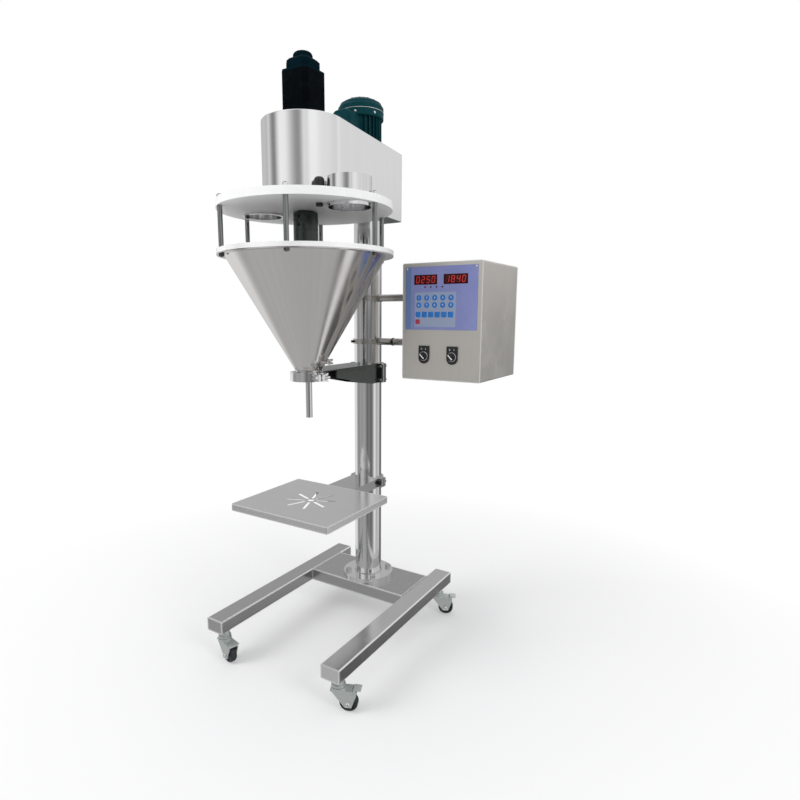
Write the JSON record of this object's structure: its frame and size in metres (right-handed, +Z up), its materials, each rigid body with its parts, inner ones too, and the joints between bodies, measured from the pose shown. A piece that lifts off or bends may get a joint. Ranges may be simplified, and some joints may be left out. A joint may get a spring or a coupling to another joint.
{
  "type": "auger powder filler",
  "caption": "Wheeled column stand carrying a conical split powder hopper with auger nozzle, belt-driven agitator head, height-set work table and swing-out control box.",
  "frame": {"origin": "on the floor under the middle of the machine's bounding box", "axes": "+Z up, -Y towards the operator's front, +X towards the control box"},
  "size_m": [0.693, 0.7109, 1.713],
  "materials": {
    "polished_steel": "mirror-polished stainless steel",
    "brushed_steel": "satin brushed stainless steel",
    "mirror_sheet": "bright annealed stainless sheet",
    "dark_fasteners": "black oxide",
    "lid_plastic": "white sheet plastic",
    "sensor_plastic": "black moulded plastic",
    "servo_black": "satin black paint",
    "motor_green": "dark teal gloss paint on cast aluminium",
    "machined_metal": "machined",
    "belt_rubber": "matt rubber",
    "panel_film": "satin printed film",
    "switch_plastic": "black moulded plastic",
    "caster_zinc": "zinc plated",
    "caster_tyre": "dark grey tyre"
  },
  "bodies": {
    "frame": {"column_tube": "polished_steel", "drive_housing": "polished_steel", "lid_posts": "polished_steel", "inlet_spout": "polished_steel", "column_flange": "polished_steel", "neck_clamp": "polished_steel", "filling_nozzle": "polished_steel", "spare_port_plug": "polished_steel", "base_left_leg": "brushed_steel", "base_right_leg": "brushed_steel", "base_cross_beam": "brushed_steel", "hopper_rear_half": "brushed_steel", "hopper_front_half": "brushed_steel", "hopper_bracket": "brushed_steel", "bracket_clamp_cap": "brushed_steel", "head_plate": "brushed_steel", "frame_bolts": "dark_fasteners", "post_nuts": "dark_fasteners", "seam_screws": "dark_fasteners", "lid_disc": "lid_plastic", "level_sensor": "sensor_plastic", "auger_motor": "servo_black", "agitator_motor": "motor_green", "motor_cowl": "motor_green", "motor_plate": "machined_metal", "sleeve_bearings": "machined_metal", "drive_belt": "belt_rubber", "caster_stems": "caster_zinc"},
    "table": {"work_table": "mirror_sheet", "table_arm": "brushed_steel", "table_clamp_cap": "brushed_steel", "table_bolts": "dark_fasteners"},
    "auger": {"auger_coupling": "machined_metal", "auger_screw": "brushed_steel"},
    "agitator": {"agitator_sleeve": "polished_steel", "agitator_blades": "brushed_steel", "driven_pulley": "machined_metal"},
    "agitator_drive": {"drive_pulley": "machined_metal"},
    "control_unit": {"control_arms": "brushed_steel", "control_box": "brushed_steel", "box_back_cover": "brushed_steel", "box_screws": "dark_fasteners", "control_panel": "panel_film", "selector_plates": "switch_plastic"},
    "selector_left": {"selector_knob_left": "switch_plastic"},
    "selector_right": {"selector_knob_right": "switch_plastic"},
    "latch": {"seam_latch": "dark_fasteners"},
    "clamp_nut": {"wing_nut": "polished_steel"},
    "caster_front_left": {"caster_fork_front_left": "caster_zinc"},
    "wheel_front_left": {"caster_wheel_front_left": "caster_tyre"},
    "pedal_front_left": {"caster_pedal_front_left": "caster_zinc"},
    "caster_front_right": {"caster_fork_front_right": "caster_zinc"},
    "wheel_front_right": {"caster_wheel_front_right": "caster_tyre"},
    "pedal_front_right": {"caster_pedal_front_right": "caster_zinc"},
    "caster_back_left": {"caster_fork_back_left": "caster_zinc"},
    "wheel_back_left": {"caster_wheel_back_left": "caster_tyre"},
    "pedal_back_left": {"caster_pedal_back_left": "caster_zinc"},
    "caster_back_right": {"caster_fork_back_right": "caster_zinc"},
    "wheel_back_right": {"caster_wheel_back_right": "caster_tyre"},
    "pedal_back_right": {"caster_pedal_back_right": "caster_zinc"}
  },
  "joints": [
    {"name": "table_height", "type": "slide", "parent": "frame", "child": "table", "axis": [0, 0, 1], "range_m": [-0.25, 0.2]},
    {"name": "auger_spin", "type": "hinge", "parent": "frame", "child": "auger", "pos_m": [-0.1025, -0.1145, 0.8635], "axis": [0, 0, 1], "continuous": true},
    {"name": "agitator_spin", "type": "hinge", "parent": "frame", "child": "agitator", "pos_m": [-0.1025, -0.1145, 1.31], "axis": [0, 0, 1], "continuous": true},
    {"name": "agitator_drive_spin", "type": "hinge", "parent": "frame", "child": "agitator_drive", "pos_m": [-0.1025, 0.159, 1.423], "axis": [0, 0, 1], "continuous": true},
    {"name": "control_swing", "type": "hinge", "parent": "frame", "child": "control_unit", "pos_m": [-0.1025, 0.1975, 0.951], "axis": [0, 0, 1], "range_deg": [-8, 90]},
    {"name": "selector_turn_left", "type": "hinge", "parent": "control_unit", "child": "selector_left", "pos_m": [0.1765, 0.0605, 0.921], "axis": [0, -1, 0], "range_deg": [-90, 0]},
    {"name": "selector_turn_right", "type": "hinge", "parent": "control_unit", "child": "selector_right", "pos_m": [0.2635, 0.0605, 0.921], "axis": [0, -1, 0], "range_deg": [-90, 0]},
    {"name": "seam_latch_swing", "type": "hinge", "parent": "frame", "child": "latch", "pos_m": [-0.03167, -0.106, 0.9], "axis": [0, 0, 1], "range_deg": [0, 110]},
    {"name": "wing_nut_turn", "type": "hinge", "parent": "frame", "child": "clamp_nut", "pos_m": [-0.04131, -0.13922, 0.8635], "axis": [0.3746, 0.9272, 0], "continuous": true},
    {"name": "caster_swivel_front_left", "type": "hinge", "parent": "frame", "child": "caster_front_left", "pos_m": [-0.3165, -0.2765, 0.075], "axis": [0, 0, 1], "continuous": true},
    {"name": "wheel_roll_front_left", "type": "hinge", "parent": "caster_front_left", "child": "wheel_front_left", "pos_m": [-0.28933, -0.28327, 0.025], "axis": [0.2419, 0.9703, 0], "continuous": true},
    {"name": "brake_pedal_front_left", "type": "hinge", "parent": "caster_front_left", "child": "pedal_front_left", "pos_m": [-0.27381, -0.28714, 0.0557], "axis": [0.2419, 0.9703, 0], "range_deg": [0, 15]},
    {"name": "caster_swivel_front_right", "type": "hinge", "parent": "frame", "child": "caster_front_right", "pos_m": [0.1115, -0.2765, 0.075], "axis": [0, 0, 1], "continuous": true},
    {"name": "wheel_roll_front_right", "type": "hinge", "parent": "caster_front_right", "child": "wheel_front_right", "pos_m": [0.13735, -0.26574, 0.025], "axis": [-0.3843, 0.9232, 0], "continuous": true},
    {"name": "brake_pedal_front_right", "type": "hinge", "parent": "caster_front_right", "child": "pedal_front_right", "pos_m": [0.15212, -0.25959, 0.0557], "axis": [-0.3843, 0.9232, 0], "range_deg": [0, 15]},
    {"name": "caster_swivel_back_left", "type": "hinge", "parent": "frame", "child": "caster_back_left", "pos_m": [-0.3165, 0.3175, 0.075], "axis": [0, 0, 1], "continuous": true},
    {"name": "wheel_roll_back_left", "type": "hinge", "parent": "caster_back_left", "child": "wheel_back_left", "pos_m": [-0.28892, 0.32236, 0.025], "axis": [-0.1736, 0.9848, 0], "continuous": true},
    {"name": "brake_pedal_back_left", "type": "hinge", "parent": "caster_back_left", "child": "pedal_back_left", "pos_m": [-0.27317, 0.32514, 0.0557], "axis": [-0.1736, 0.9848, 0], "range_deg": [0, 15]},
    {"name": "caster_swivel_back_right", "type": "hinge", "parent": "frame", "child": "caster_back_right", "pos_m": [0.1115, 0.3175, 0.075], "axis": [0, 0, 1], "continuous": true},
    {"name": "wheel_roll_back_right", "type": "hinge", "parent": "caster_back_right", "child": "wheel_back_right", "pos_m": [0.13735, 0.32826, 0.025], "axis": [-0.3843, 0.9232, 0], "continuous": true},
    {"name": "brake_pedal_back_right", "type": "hinge", "parent": "caster_back_right", "child": "pedal_back_right", "pos_m": [0.15212, 0.33441, 0.0557], "axis": [-0.3843, 0.9232, 0], "range_deg": [0, 15]}
  ],
  "couplings": [
    {"joint": "agitator_drive_spin", "follows": "agitator_spin", "ratio": 2.2987}
  ]
}
